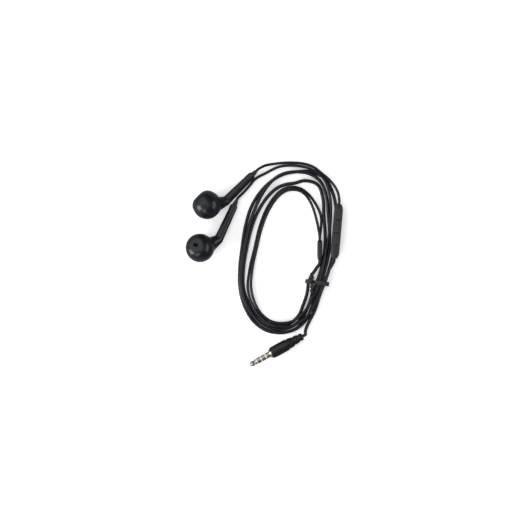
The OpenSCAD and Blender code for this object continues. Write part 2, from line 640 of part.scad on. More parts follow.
module plug_boot() {
  difference() {
    translate([0, 0, plug_l + collar_t]) difference() {
      rotate_extrude($fn = 64) polygon(concat([[0, 0]], [for (q = boot_line) [q[1], q[0]]], [[0, boot_l]]));
      for (g = [0.54, 0.72, 0.89]) translate([0, 0, g * boot_l - groove_w / 2])
        tube_ring(boot_d, lookup(g * boot_l, boot_line) - groove_t, 0, groove_w);
    }
    translate([0, 0, plug_l]) cylinder(h = collar_t + core_back, r = core_r + 0.9 + press_play, $fn = 48);
  }
}

// ---- twist tie ---------------------------------------------------------------------------
tie_at = [58.9, -39.6];
tie_turn = -8;
// Inside of the band, seen along the strands: [across, height].
tie_line = [[-6.6, 0.58], [-6.6, 3.6], [0.2, 5.4], [4, 6.0], [6.9, 5.9], [6.9, 0.58]];
tail_pitch = 2.4;
module tie_outline(grow) {
  hull() for (q = tie_line) translate(q) circle(grow, $fn = 24);
}
module twist_tie() {
  translate([tie_at[0], tie_at[1], 0] - middle) rotate([0, 0, tie_turn]) {
    difference() {
      rotate([90, 0, 0]) linear_extrude(tie_w, center = true) tie_outline(tie_t + 0.02);
      rotate([90, 0, 0]) linear_extrude(2 * tie_w, center = true) tie_outline(0.02);
    }
    translate([tie_line[4][0] + tie_t, 0, 3.4]) sphere(1.0, $fn = 24);
    translate([-3.1, 0, 4.5 + tie_t + tail_d * 0.28]) rotate([0, 0, -tie_turn])
      translate([0, 5.2, 0]) rotate([90, 0, 0])
      linear_extrude(tail_l, twist = 360 * tail_l / tail_pitch, slices = ceil(8 * tail_l / tail_pitch))
        for (s = [-1, 1]) translate([s * tail_d * 0.23, 0]) circle(tail_d * 0.27, $fn = 10);
  }
}

// ---- colours ----------------------------------------------------------------------------
module shiny() { color([0.08, 0.08, 0.09]) children(); }
module soft() { color([0.13, 0.13, 0.15]) children(); }
module grey() { color([0.30, 0.30, 0.32]) children(); }
module metal() { color([0.78, 0.77, 0.74]) children(); }
module pale() { color([0.90, 0.89, 0.86]) children(); }
module copper() { color([0.72, 0.42, 0.22]) children(); }

lay_bud(LEFT) shiny() face_cap();  // left_face_cap
lay_bud(LEFT) shiny() rear_shell();  // left_rear_shell
lay_bud(LEFT) soft() stem_sleeve();  // left_stem_sleeve
lay_bud(LEFT) grey() sound_mesh();  // left_sound_mesh
lay_bud(LEFT) grey() vent_mesh();  // left_vent_mesh
lay_bud(LEFT) grey() driver_frame();  // left_driver_frame
lay_bud(LEFT) metal() magnet();  // left_magnet
lay_bud(LEFT) metal() pole_plate();  // left_pole_plate
lay_bud(LEFT) metal() yoke_cup();  // left_yoke_cup
lay_bud(LEFT) copper() voice_coil();  // left_voice_coil
lay_bud(LEFT) pale() diaphragm();  // left_diaphragm
lay_bud(LEFT) pale() damping_paper();  // left_damping_paper
lay_bud(LEFT) metal() cable_crimp();  // left_cable_crimp
lay_bud(LEFT) copper() inner_wires();  // left_inner_wires
lay_bud(RIGHT) shiny() face_cap();  // right_face_cap
lay_bud(RIGHT) shiny() rear_shell();  // right_rear_shell
lay_bud(RIGHT) soft() stem_sleeve();  // right_stem_sleeve
lay_bud(RIGHT) grey() sound_mesh();  // right_sound_mesh
lay_bud(RIGHT) grey() vent_mesh();  // right_vent_mesh
lay_bud(RIGHT) grey() driver_frame();  // right_driver_frame
lay_bud(RIGHT) metal() magnet();  // right_magnet
lay_bud(RIGHT) metal() pole_plate();  // right_pole_plate
lay_bud(RIGHT) metal() yoke_cup();  // right_yoke_cup
lay_bud(RIGHT) copper() voice_coil();  // right_voice_coil
lay_bud(RIGHT) pale() diaphragm();  // right_diaphragm
lay_bud(RIGHT) pale() damping_paper();  // right_damping_paper
lay_bud(RIGHT) metal() cable_crimp();  // right_cable_crimp
lay_bud(RIGHT) copper() inner_wires();  // right_inner_wires
lay_remote() soft() remote_front_shell();
lay_remote() shiny() remote_rear_shell();
lay_remote() shiny() volume_up_button();
lay_remote() shiny() centre_button();
lay_remote() shiny() volume_down_button();
lay_remote() grey() circuit_board();
lay_remote() metal() dome_switches();
lay_remote() metal() mic_capsule();
lay_remote() soft() mic_gasket();
lay_splitter() soft() splitter_half(1);  // splitter_front_shell
lay_splitter() soft() splitter_half(-1);  // splitter_rear_shell
lay_splitter() metal() splitter_crimp();
lay_plug() metal() plug_tip();
lay_plug() metal() plug_front_ring();
lay_plug() metal() plug_rear_ring();
lay_plug() metal() plug_sleeve();
lay_plug() pale() plug_insulators();
lay_plug() pale() plug_core();
lay_plug() soft() plug_boot();
soft() lay_cable(main_lead_route, main_d, 8);  // main_cable_lead
soft() wound(main_coil_route, main_d, "main cable");  // main_cable_coil
soft() wound(left_coil_route, branch_d, "left cable");  // left_cable_coil
soft() lay_cable(left_lead_route, branch_d, 8);  // left_cable_lead
soft() wound(right_coil_route, branch_d, "right cable");  // right_cable_coil
soft() lay_cable(right_lead_route, branch_d, 8);  // right_cable_lead
soft() twist_tie();
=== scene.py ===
import bmesh
import bpy
import json
import math
from mathutils import Matrix, Vector

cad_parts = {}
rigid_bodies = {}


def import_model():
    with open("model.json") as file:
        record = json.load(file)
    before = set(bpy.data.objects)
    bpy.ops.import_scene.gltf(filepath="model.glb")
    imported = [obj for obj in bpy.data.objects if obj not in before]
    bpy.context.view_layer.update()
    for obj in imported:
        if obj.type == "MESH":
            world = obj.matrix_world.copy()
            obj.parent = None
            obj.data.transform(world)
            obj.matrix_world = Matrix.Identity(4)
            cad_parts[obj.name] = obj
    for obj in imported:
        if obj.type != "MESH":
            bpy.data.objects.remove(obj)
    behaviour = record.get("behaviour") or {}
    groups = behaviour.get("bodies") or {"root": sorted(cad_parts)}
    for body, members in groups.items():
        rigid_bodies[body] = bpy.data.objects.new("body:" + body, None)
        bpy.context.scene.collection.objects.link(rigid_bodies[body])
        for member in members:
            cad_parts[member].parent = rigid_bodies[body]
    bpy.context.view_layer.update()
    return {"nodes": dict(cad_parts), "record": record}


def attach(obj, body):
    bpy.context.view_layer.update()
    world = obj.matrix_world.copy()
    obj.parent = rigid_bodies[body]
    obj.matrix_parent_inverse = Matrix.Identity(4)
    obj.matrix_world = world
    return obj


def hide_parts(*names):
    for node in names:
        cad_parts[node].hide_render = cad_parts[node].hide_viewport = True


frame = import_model()
nodes = frame["nodes"]
scene = bpy.context.scene
MM = 0.001                                  # the pieces are drawn in millimetres
ORIGIN = Vector((1.379, 0.575, 0.0))         # middle of the two earbuds, in drawing millimetres

# ---------------------------------------------------------------- camera
# A long lens straight above the set, which lies flat on a table, so that nothing
# leans and the width of the view is known in millimetres.
camera_height = 900.0
view_width = 310.3
view_middle = (22.12, -23.51)
sensor = 36.0
camera = bpy.data.objects.new("camera", bpy.data.cameras.new("camera"))
scene.collection.objects.link(camera)
camera.data.sensor_width = sensor
camera.data.lens = sensor * camera_height / view_width
camera.data.clip_start = 0.05
camera.location = (Vector((*view_middle, camera_height)) - ORIGIN) * MM
scene.camera = camera

# ---------------------------------------------------------------- cables
# One soft black TPE cable from the plug to the splitter, and two thinner ones from
# there, the right one by way of the remote. They are wound by hand into an oval coil.
main_d = 2.1
branch_d = 1.65


class Value:
    """A number inside a material; sums and products of it add Math nodes."""

    def __init__(self, finish, socket):
        self.finish = finish
        self.socket = socket

    def maths(self, operation, first, second=0.0):
        return self.finish.node("ShaderNodeMath", {"operation": operation}, {0: first, 1: second})

    def __add__(self, other):
        return self.maths("ADD", self, other)

    __radd__ = __add__

    def __mul__(self, other):
        return self.maths("MULTIPLY", self, other)

    __rmul__ = __mul__

    def sin(self):
        return self.maths("SINE", self)

    def above(self, other):
        return self.maths("GREATER_THAN", self, other)


class Finish:
    """A material with one Principled shader, and the nodes that vary over its surface."""

    def __init__(self, name, **constants):
        self.material = bpy.data.materials.new(name)
        self.material.use_nodes = True
        self.tree = self.material.node_tree
        self.shader = self.tree.nodes["Principled BSDF"]
        for key, value in constants.items():
            self.put(self.shader.inputs[key.replace("_", " ")], value)

    def put(self, socket, value):
        """Links a Value to the socket, or sets a plain number or colour on it."""
        if isinstance(value, Value):
            self.tree.links.new(value.socket, socket)
        elif hasattr(socket.default_value, "__len__") and len(value) == 3 and len(socket.default_value) == 4:
            socket.default_value = (*value, 1.0)
        else:
            socket.default_value = value

    def node(self, kind, settings=None, inputs=None, out=0):
        """A new node with its settings and inputs, as the Value of one of its outputs."""
        made = self.tree.nodes.new(kind)
        for key, value in (settings or {}).items():
            setattr(made, key, value)
        for key, value in (inputs or {}).items():
            self.put(made.inputs[key], value)
        return Value(self, made.outputs[out])

    def place(self):
        return self.node("ShaderNodeTexCoord", out="Object")

    def axes(self, vector):
        return [self.node("ShaderNodeSeparateXYZ", {}, {0: vector}, out=i) for i in range(3)]

    def noise(self, size, detail):
        """Noise whose spots are about size millimetres wide."""
        return self.node("ShaderNodeTexNoise", {},
                         {"Vector": self.place(), "Scale": 1.0 / (size * MM), "Detail": detail})

    def blend(self, factor, dark, light):
        return self.node("ShaderNodeMix", {"data_type": "RGBA"}, {0: factor, 6: dark, 7: light}, out=2)

    def bump(self, height, depth):
        """Fine relief, its depth in millimetres."""
        self.put(self.shader.inputs["Normal"],
                 self.node("ShaderNodeBump", {}, {"Height": height, "Distance": depth * MM, "Strength": 1.0}))

    def set(self, **links):
        """Feeds the shader's sockets, named with underscores for spaces."""
        for key, value in links.items():
            self.put(self.shader.inputs[key.replace("_", " ")], value)


def cable_finish(name, dark, light):
    """Satin TPE: a slow change of tone, faint dust and a fine drawn grain."""
    finish = Finish(name, IOR=1.48, Specular_IOR_Level=0.30)
    tone = finish.noise(9.0, 2.0)
    grain = finish.noise(0.25, 3.0)
    finish.set(Base_Color=finish.blend(tone, dark, light), Roughness=0.20 + tone * 0.14 + grain * 0.06)
    finish.bump(grain, 0.006)
    return finish.material


cable_black = cable_finish("cable_black", (0.004, 0.004, 0.008), (0.008, 0.009, 0.015))

# Stations round the oval, each as (millimetres outside the base oval, height above the
# table), one every thirty degrees.
station_step = 30
main_turns = [
    (3.2, 1.8), (-0.7, 2.2), (1.9, 1.3), (5.2, 1.1), (7.1, 1.1), (1.9, 1.1),
    (1.2, 1.1), (2.9, 1.1), (3.2, 1.1), (5.4, 1.1), (5.2, 1.1), (2.8, 1.1),
    (0.6, 1.1), (-2.9, 2.2), (-0.8, 1.3), (0.2, 1.1), (3.9, 3.3), (1.8, 3.7),
    (1.0, 3.7), (0.4, 3.0), (1.8, 3.4), (4.6, 3.4), (3.06, 2.0), (0.66, 1.1),
    (-2.0, 1.1), (-5.1, 2.2), (-3.3, 1.3), (-2.6, 1.1), (1.5, 1.1), (-5.0, 1.1),
    (-4.2, 1.1), (-2.0, 1.1), (0.4, 1.1), (3.2, 1.1), (0.92, 1.1), (-1.48, 1.1),
    (-4.6, 1.1)]
right_turn = [
    (-4.4, 0.9), (-6.6, 0.9), (-7.3, 0.9), (-6.8, 0.9), (-5.9, 0.9), (-4.3, 0.9),
    (0.7, 2.2), (0.2, 3.6), (-0.9, 3.4), (-0.7, 3.5), (-1.3, 4.5)]
left_turn = [
    (-7.6, 2.1), (-8.2, 2.6), (-9.0, 2.1), (-8.5, 2.1), (-7.5, 2.5), (-5.6, 3.1),
    (-1.3, 2.9), (-1.3, 2.9), (-3.1, 3.0), (-3.6, 3.5), (-3.9, 4.5), (-2.7, 3.6),
    (1.6, 3.9), (6.3, 3.5), (5.6, 1.6), (7.3, 0.9)]
oval_middle = Vector((41.8, -20.8, 0))
oval_half = (25.0, 46.5)
oval_lean = math.radians(-5)
oval_fullness = 2 / 2.15


def oval(angle):
    """The point of the base oval at an angle in degrees."""
    turn = math.radians(angle)
    x, y = (half * math.copysign(abs(c) ** oval_fullness, c)
            for half, c in zip(oval_half, (math.cos(turn), math.sin(turn))))
    return Matrix.Rotation(oval_lean, 3, "Z") @ Vector((x, y, 0)) + oval_middle


def laid_turn(stations, start, low):
    """Points every half station along one wound cable, none of them below low."""
    rows = [Vector(s) for s in stations]
    rows = [2 * rows[0] - rows[1]] + rows + [2 * rows[-1] - rows[-2]]
    points = []
    for i in range(len(stations)):
        for t in (0.0, 0.5):
            if t and i == len(stations) - 1:
                break
            a, b, c, d = rows[i], rows[i + 1], rows[i + 2], rows[min(i + 3, len(rows) - 1)]
            lane, height = 0.5 * (2 * b + (c - a) * t + (2 * a - 5 * b + 4 * c - d) * t ** 2
                                  + (3 * b - a - 3 * c + d) * t ** 3)
            angle = start + station_step * (i + t)
            along = oval(angle + 0.5) - oval(angle - 0.5)
            outward = Vector((along.y, -along.x, 0)).normalized()
            points.append(oval(angle) + lane * outward + Vector((0, 0, max(height, low))))
    return points


def smooth_line(points, step=1.4):
    """A smooth curve through the points, with a point about every step millimetres."""
    points = [Vector(p) for p in points]
    rows = [2 * points[0] - points[1]] + points + [2 * points[-1] - points[-2]]
    line = []
    for a, b, c, d in zip(rows, rows[1:], rows[2:], rows[3:]):
        knots = [0.0]
        for p, q in ((a, b), (b, c), (c, d)):
            knots.append(knots[-1] + max((q - p).length, 1e-3) ** 0.5)
        k0, k1, k2, k3 = knots
        count = max(1, round((c - b).length / step))
        for n in range(count):
            t = k1 + (k2 - k1) * n / count
            ab = a.lerp(b, (t - k0) / (k1 - k0))
            bc = b.lerp(c, (t - k1) / (k2 - k1))
            cd = c.lerp(d, (t - k2) / (k3 - k2))
            left = ab.lerp(bc, (t - k0) / (k2 - k0))
            right = bc.lerp(cd, (t - k1) / (k3 - k1))
            line.append(left.lerp(right, (t - k1) / (k2 - k1)))
    return line + [points[-1]]


def round_cord(name, points, diameter, material):
    """A round cord as one open curve, and its length in metres."""
    line = [(p - ORIGIN) * MM for p in smooth_line(points)]
    curve = bpy.data.curves.new(name, "CURVE")
    curve.dimensions = "3D"
    curve.bevel_depth = diameter / 2 * MM
    curve.bevel_resolution = 4
    curve.use_fill_caps = True
    spline = curve.splines.new("POLY")
    spline.points.add(len(line) - 1)
    for point, place in zip(spline.points, line):
        point.co = (*place, 1.0)
    spline.use_smooth = True
    curve.materials.append(material)
    made = bpy.data.objects.new(name, curve)
    scene.collection.objects.link(made)
    return made, line[0], sum((q - p).length for p, q in zip(line, line[1:]))


plug_tip_at = Vector((18.2, -89.5, 3.6))
plug_turn = math.radians(28.8)
plug_along = Vector((math.cos(plug_turn), math.sin(plug_turn), 0))
metal_length = 15.0
boot_length = 21.5
boot_end = plug_tip_at + (metal_length + boot_length) * plug_along
remote_at = Vector((70.8, -8.6, 5.1))
remote_turn = math.radians(-4.9)
remote_along = Vector((-math.sin(remote_turn), math.cos(remote_turn), 0))
remote_half = 16.5
splitter_at = Vector((60.7, -19.9, 2.45))
splitter_half = 6.0
exit_rise = 1.055
right_exit = splitter_at + Vector((0, splitter_half, -exit_rise))
left_exit = splitter_at + Vector((0, splitter_half, exit_rise))
main_entry = splitter_at + Vector((0, -splitter_half, 0))
up_y = Vector((0, 1, 0))
table_gap = 0.02


def bud_place(roll, pitch, turn, at, mirrored):
    """From an earbud's own frame, face towards +Z and stem along +X, to the table."""
    place = Matrix.Translation(Vector(at) - ORIGIN)
    for angle, axis in ((turn, "Z"), (pitch, "Y"), (roll, "X")):
        place = place @ Matrix.Rotation(math.radians(angle), 4, axis)
    return place @ Matrix.Diagonal((1, -1 if mirrored else 1, 1, 1))


head_r = 8.65
stem_axis = Vector((0, -6.1, -6.0))
stem_length = 31.9
sleeve_length = 3.5
buds = {
    "left": bud_place(-21, 4.9, 65.2, (-11.5, -18.65, head_r), False),
    "right": bud_place(-90, 0, 44.5, (-7.3, 7.15, 9.08), True)}
sleeve_end = {side: place @ (stem_axis + Vector((stem_length + sleeve_length, 0, 0))) + ORIGIN
              for side, place in buds.items()}
sleeve_along = {side: (place.to_3x3() @ Vector((1, 0, 0))).normalized() for side, place in buds.items()}

main_line = (
    [boot_end, boot_end + main_d * plug_along, (51.9, -69.2, 3.1)]
    + laid_turn(main_turns, -60, main_d / 2 + table_gap)
    + [(50.4, -53.8, 1.1), (52.0, -49.6, 1.4), (53.2, -45.0, 2.1), (53.7, -40.6, 2.2),
       (55.0, -36.4, 2.2), (57.5, -32.6, 2.3), (59.4, -29.9, 2.4)]
    + [main_entry - main_d * up_y, main_entry])
right_lower_line = (
    [right_exit, right_exit + branch_d * up_y, (61.3, -7.8, 1.2)]
    + laid_turn(right_turn, 30, branch_d / 2 + table_gap)
    + [(64.3, -36.2, 5.0), (66.7, -31.0, 5.1)]
    + [remote_at - (remote_half + branch_d) * remote_along, remote_at - remote_half * remote_along])
left_line = (
    [left_exit, left_exit + branch_d * up_y, (60.0, -7.8, 3.1)]
    + laid_turn(left_turn, 30, branch_d / 2 + table_gap)
    + [(21.7, 23.1, 1.0), (18.0, 18.7, 1.2), (14.5, 14.8, 1.6)]
    + [sleeve_end["left"] + branch_d * sleeve_along["left"], sleeve_end["left"]])
right_upper_line = (
    [remote_at + remote_half * remote_along, remote_at + (remote_half + branch_d) * remote_along]
    + [(71.6, 14.4, 4.6), (70.0, 17.9, 3.9), (67.8, 21.0, 3.0), (64.9, 23.9, 3.0),
       (61.3, 26.9, 2.4), (57.1, 30.2, 1.4), (51.7, 32.2, 1.2), (46.4, 32.8, 1.6),
       (41.4, 32.9, 2.1), (36.6, 32.6, 2.5), (31.6, 32.0, 2.0), (27.4, 31.1, 2.3)]
    + [sleeve_end["right"] + branch_d * sleeve_along["right"], sleeve_end["right"]])
cord_facts = [
    ("main_cable", main_line[::-1], main_d, ["main_cable_lead", "main_cable_coil"], "coiled"),
    ("right_lower_cable", right_lower_line[::-1], branch_d, ["right_cable_coil"], "coiled"),
    ("left_cable", left_line[::-1], branch_d, ["left_cable_coil", "left_cable_lead"], "coiled"),
    ("right_upper_cable", right_upper_line[::-1], branch_d, ["right_cable_lead"], "loose")]
cords = {}
for name, points, diameter, stood_for, lay in cord_facts:
    piece, start, length = round_cord(name, points, diameter, cable_black)
    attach(piece, "earphones")
    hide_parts(*stood_for)
    cords[name] = (piece, start, length, diameter, lay)

# ---------------------------------------------------------------- earbud shells
# Glossy black ABS in two mouldings: a face cap with the sound slot, and a rear shell
# with the neck and the stem. The tongue of the cap is glued into the rear shell.
seam_h = 3.5
face_r = 4.0
cap_r = 0.974 * head_r
face_h = 7.7
face_edge_h = 7.5
cap_wall = 1.0
rear_wall = 0.9
neck_foot = Vector((2.7, -2.44, -2.64))
neck_x = 9.5
neck_radii = (5.36, 2.95)
stem_radii = (2.85, 2.33)
knee_r = 2.97
skin_voxel = 0.28
skin_passes = 36


def gloss_finish(name, dark, light, rough, grain_size=0.5):
    """Moulded black plastic with a faint orange peel, smears and dust."""
    finish = Finish(name, IOR=1.5, Specular_IOR_Level=0.32)
    smear = finish.noise(4.0, 3.0)
    peel = finish.noise(grain_size, 2.0)
    finish.set(Base_Color=finish.blend(smear, dark, light), Roughness=rough + smear * 0.12)
    finish.bump(peel, 0.004)
    return finish.material


shell_gloss = gloss_finish("shell_gloss", (0.004, 0.005, 0.008), (0.007, 0.008, 0.013), 0.22)


def turned(profile, steps):
    """A closed profile of (radius, height) turned once about Z."""
    bm = bmesh.new()
    verts = [bm.verts.new((r, 0, z)) for r, z in profile]
    edges = [bm.edges.new(pair) for pair in zip(verts, verts[1:] + verts[:1])]
    bmesh.ops.spin(bm, geom=verts + edges, cent=(0, 0, 0), axis=(0, 0, 1), angle=2 * math.pi,
                   steps=steps, use_merge=True)
    bmesh.ops.remove_doubles(bm, verts=bm.verts, dist=1e-4)
    bmesh.ops.recalc_face_normals(bm, faces=bm.faces)
    return bm


def soften(bm, width):
    """Rounds the sharp edges of a block."""
    sharp = [e for e in bm.edges if len(e.link_faces) == 2 and e.calc_face_angle(0) > math.radians(60)]
    bmesh.ops.bevel(bm, geom=sharp, offset=width, offset_type="OFFSET", segments=3,
                    profile=0.5, affect="EDGES", material=-1, clamp_overlap=True)


def as_piece(bm, name, place, material, stands_for, body="earphones", crease=35):
    """Lays the finished shape in its place on the table and makes it a piece."""
    bmesh.ops.transform(bm, matrix=Matrix.Scale(MM, 4) @ place, verts=bm.verts)
    bmesh.ops.recalc_face_normals(bm, faces=bm.faces)
    for face in bm.faces:
        face.smooth = True
    for edge in bm.edges:
        if len(edge.link_faces) == 2 and edge.calc_face_angle(0) > math.radians(crease):
            edge.smooth = False
    mesh = bpy.data.meshes.new(name)
    bm.to_mesh(mesh)
    bm.free()
    mesh.materials.append(material)
    made = bpy.data.objects.new(name, mesh)
    scene.collection.objects.link(made)
    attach(made, body)
    if stands_for:
        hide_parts(*stands_for)


def with_modifiers(bm, *modifiers):
    """The shape after its modifiers, each given as (kind, settings)."""
    mesh = bpy.data.meshes.new("work")
    bm.to_mesh(mesh)
    bm.free()
    work = bpy.data.objects.new("work", mesh)
    scene.collection.objects.link(work)
    for kind, settings in modifiers:
        modifier = work.modifiers.new(kind, kind)
        for key, value in settings.items():
            setattr(modifier, key, value)
    result = bmesh.new()
    result.from_mesh(work.evaluated_get(bpy.context.evaluated_depsgraph_get()).to_mesh())
    bpy.data.objects.remove(work)
    return result


def cut_away(bm, cutter):
    """The shape less the cutter."""
    for shape in (bm, cutter):
        bmesh.ops.recalc_face_normals(shape, faces=shape.faces)
    mesh = bpy.data.meshes.new("cutter")
    cutter.to_mesh(mesh)
    cutter.free()
    tool = bpy.data.objects.new("cutter", mesh)
    scene.collection.objects.link(tool)
    result = with_modifiers(bm, ("BOOLEAN", {"operation": "DIFFERENCE", "solver": "EXACT", "object": tool}))
    bpy.data.objects.remove(tool)
    return result


def verts_of(made):
    """The vertices among what an operator made."""
    return [item for item in made["geom"] if isinstance(item, bmesh.types.BMVert)]


def slot_block(length, width, low, high):
    """A block with round ends, its length along Y."""
    bm = bmesh.new()
    bmesh.ops.create_circle(bm, cap_ends=True, segments=48, radius=width / 2)
    for vert in bm.verts:
        vert.co.z = low
        if abs(vert.co.y) > 1e-6:
            vert.co.y += math.copysign((length - width) / 2, vert.co.y)
    made = bmesh.ops.extrude_face_region(bm, geom=bm.faces[:])
    bmesh.ops.translate(bm, vec=(0, 0, high - low), verts=verts_of(made))
    bmesh.ops.recalc_face_normals(bm, faces=bm.faces)
    return bm


side_fullness = 2.4
nose_h = face_edge_h / (1 - (face_r / cap_r) ** side_fullness) ** (1 / side_fullness)
side_low, side_high = seam_h + 0.22, face_edge_h - 0.35
side_steps = 14
roof_h = 6.5


def side_r(z):
    """Radius of the cap's rounded side at a height."""
    return cap_r * (1 - (z / nose_h) ** side_fullness) ** (1 / side_fullness)


def cap_shape():
    """The front of the head: a seam edge, the rounded side, the face, and the inside."""
    side = [(side_r(seam_h) - 0.12, seam_h + 0.02), (side_r(seam_h) - 0.02, seam_h + 0.10)]
    side += [(side_r(z), z) for z in (side_low + (side_high - side_low) * i / side_steps
                                      for i in range(side_steps + 1))]
    face = [(face_r * k, face_h - (face_h - face_edge_h) * k ** 2) for k in (0.97, 0.88, 0.7, 0.5, 0.25, 0.0)]
    inside = [(0.0, roof_h)] + [(side_r(z) - cap_wall, z) for z in (roof_h, 5.5, 4.5, seam_h)]
    return turned(side + face + inside, 128)


def rear_shape():
    """Head, neck and stem melted into one skin, then opened at the seam and the stem's end."""
    bm = bmesh.new()
    bmesh.ops.create_uvsphere(bm, u_segments=96, v_segments=48, radius=head_r)
    knee = Vector((neck_x, stem_axis.y, stem_axis.z))
    stem_end = Vector((stem_length + 1.5, stem_axis.y, stem_axis.z))
    for start, end, (r1, r2) in ((neck_foot, knee, neck_radii), (knee, stem_end, stem_radii)):
        along = end - start
        place = Matrix.Translation((start + end) / 2) @ along.to_track_quat("Z", "Y").to_matrix().to_4x4()
        bmesh.ops.create_cone(bm, cap_ends=True, segments=64, radius1=r1, radius2=r2,
                              depth=along.length, matrix=place)
    bmesh.ops.create_uvsphere(bm, u_segments=48, v_segments=24, radius=knee_r,
                              matrix=Matrix.Translation(knee))
    bm = with_modifiers(bm, ("REMESH", {"mode": "VOXEL", "voxel_size": skin_voxel, "adaptivity": 0.0}))
    for _ in range(skin_passes):
        bmesh.ops.smooth_vert(bm, verts=bm.verts, factor=0.5, use_axis_x=True, use_axis_y=True,
                              use_axis_z=True)
    for at, away in (((0, 0, seam_h), (0, 0, 1)), ((stem_length, 0, 0), (1, 0, 0))):
        bmesh.ops.bisect_plane(bm, geom=bm.verts[:] + bm.edges[:] + bm.faces[:], dist=1e-4, plane_co=at,
                               plane_no=away, clear_outer=True)
    return with_modifiers(bm, ("SOLIDIFY", {"thickness": rear_wall, "offset": -1.0}))


# Length, width, lower end and upper end of each opening.
sound_slot = (3.4, 2.3, 5.5, 9.5)
vent_slot = (3.2, 1.2, -10.0, -6.0)
for side, place in buds.items():
    cap = cut_away(cap_shape(), slot_block(*sound_slot))
    as_piece(cap, f"{side}_face", place, shell_gloss, [f"{side}_face_cap"])
    rear = cut_away(rear_shape(), slot_block(*vent_slot))
    as_piece(rear, f"{side}_rear", place, shell_gloss, [f"{side}_rear_shell"], crease=50)

# ---------------------------------------------------------------- stem sleeves
# A soft black sleeve moulded over the cable where it leaves each stem, with a collar
# that closes the stem's end.
soft_black = cable_finish("soft_black", (0.010, 0.010, 0.012), (0.018, 0.018, 0.021))
sleeve_profile = [(0.7, -3.0), (1.6, -3.0), (1.6, 0.0), (2.02, 0.0), (2.05, 0.1), (2.0, 0.42), (1.62, 0.55),
                  (1.50, 0.9), (1.42, 1.6), (1.30, 2.4), (1.16, 3.1), (1.06, 3.42), (0.95, 3.5), (0.7, 3.5)]
for side, place in buds.items():
    at = place @ Matrix.Translation(stem_axis + Vector((stem_length, 0, 0)))
    at = at @ Matrix.Rotation(math.pi / 2, 4, "Y")
    as_piece(turned(sleeve_profile, 48), f"{side}_sleeve", at, soft_black,
             [f"{side}_stem_sleeve"])

# ---------------------------------------------------------------- remote
# A slim remote on the right cable: satin front shell, glossy rear shell, and three
# rocker-like keys that stand a little proud, with the microphone hole below them.
remote_w, remote_t = 5.2, 4.4
remote_taper, remote_tip, remote_edge = 4.0, 2.9, 1.35
remote_seam = 0.03
keys = [("volume_up", 10.6, 7.0), ("centre", 2.8, 7.4), ("volume_down", -5.0, 7.0)]
key_w, key_foot, key_top = 3.0, 0.3, 2.5
key_gap, key_corner, key_edge = 0.15, 0.5, 0.18
opening_low, opening_high = -0.1, 3.0
microphone_y = -11.3
microphone_slot = (0.72, 0.7, 0.8, opening_high)
block_end_edge = 0.3
lay_remote = Matrix.Translation(remote_at - ORIGIN) @ Matrix.Rotation(remote_turn, 4, "Z")
shell_satin = gloss_finish("shell_satin", (0.014, 0.014, 0.018), (0.024, 0.024, 0.029), 0.36, 0.3)
button_gloss = gloss_finish("button_gloss", (0.014, 0.014, 0.016), (0.026, 0.026, 0.030), 0.22)


def slim_block(length, width, height, taper, tip, edge):
    """A long block with rounded long edges and tapered ends, its length along Y."""
    bm = bmesh.new()
    bmesh.ops.create_cube(bm, size=1.0, matrix=Matrix.Diagonal((width, length, height, 1)))
    along = [e for e in bm.edges if abs(e.verts[0].co.y - e.verts[1].co.y) > 0.1]
    bmesh.ops.bevel(bm, geom=along, offset=edge, offset_type="OFFSET", segments=6, profile=0.5,
                    affect="EDGES", material=-1)
    for share in (1.0, 0.8, 0.6, 0.4, 0.2):
        for y in (share * taper - length / 2, length / 2 - share * taper):
            bmesh.ops.bisect_plane(bm, geom=bm.verts[:] + bm.edges[:] + bm.faces[:], dist=1e-4,
                                   plane_co=(0, y, 0), plane_no=(0, 1, 0))
    for vert in bm.verts:
        past = max(0.0, abs(vert.co.y) - (length / 2 - taper)) / taper
        for i, size in ((0, width), (2, height)):
            vert.co[i] *= 1 - past ** 2 * (1 - tip / size)
    soften(bm, block_end_edge)
    return bm


def key_block(y, length, width, low, high):
    """A flat block with round corners, for a key and for the opening round it."""
    bm = bmesh.new()
    bmesh.ops.create_cube(bm, size=1.0, matrix=Matrix.Translation((0, y, (low + high) / 2))
                          @ Matrix.Diagonal((width, length, high - low, 1)))
    upright = [e for e in bm.edges if abs(e.verts[0].co.z - e.verts[1].co.z) > 0.1]
    bmesh.ops.bevel(bm, geom=upright, offset=key_corner, offset_type="OFFSET", segments=4, profile=0.5,
                    affect="EDGES", material=-1)
    return bm


for part, z_cut, finish in (("front", 1, shell_satin), ("rear", -1, shell_gloss)):
    half = slim_block(2 * remote_half, remote_w, remote_t, remote_taper, remote_tip, remote_edge)
    bmesh.ops.bisect_plane(half, geom=half.verts[:] + half.edges[:] + half.faces[:], dist=1e-4,
                           plane_co=(0, 0, remote_seam * z_cut), plane_no=(0, 0, -z_cut), clear_outer=True)
    bmesh.ops.holes_fill(half, edges=half.edges[:], sides=0)
    if part == "front":
        for name, y, length in keys:
            half = cut_away(half, key_block(y, length + 2 * key_gap, key_w + 2 * key_gap,
                                            opening_low, opening_high))
        microphone_hole = slot_block(*microphone_slot)
        bmesh.ops.translate(microphone_hole, vec=(0, microphone_y, 0), verts=microphone_hole.verts)
        half = cut_away(half, microphone_hole)
    as_piece(half, f"remote_{part}", lay_remote, finish, [f"remote_{part}_shell"])
for name, y, length in keys:
    key = key_block(y, length, key_w, key_foot, key_top)
    soften(key, key_edge)
    as_piece(key, f"{name}_key", lay_remote, button_gloss, [f"{name}_button"],
             body=f"{name}_button")

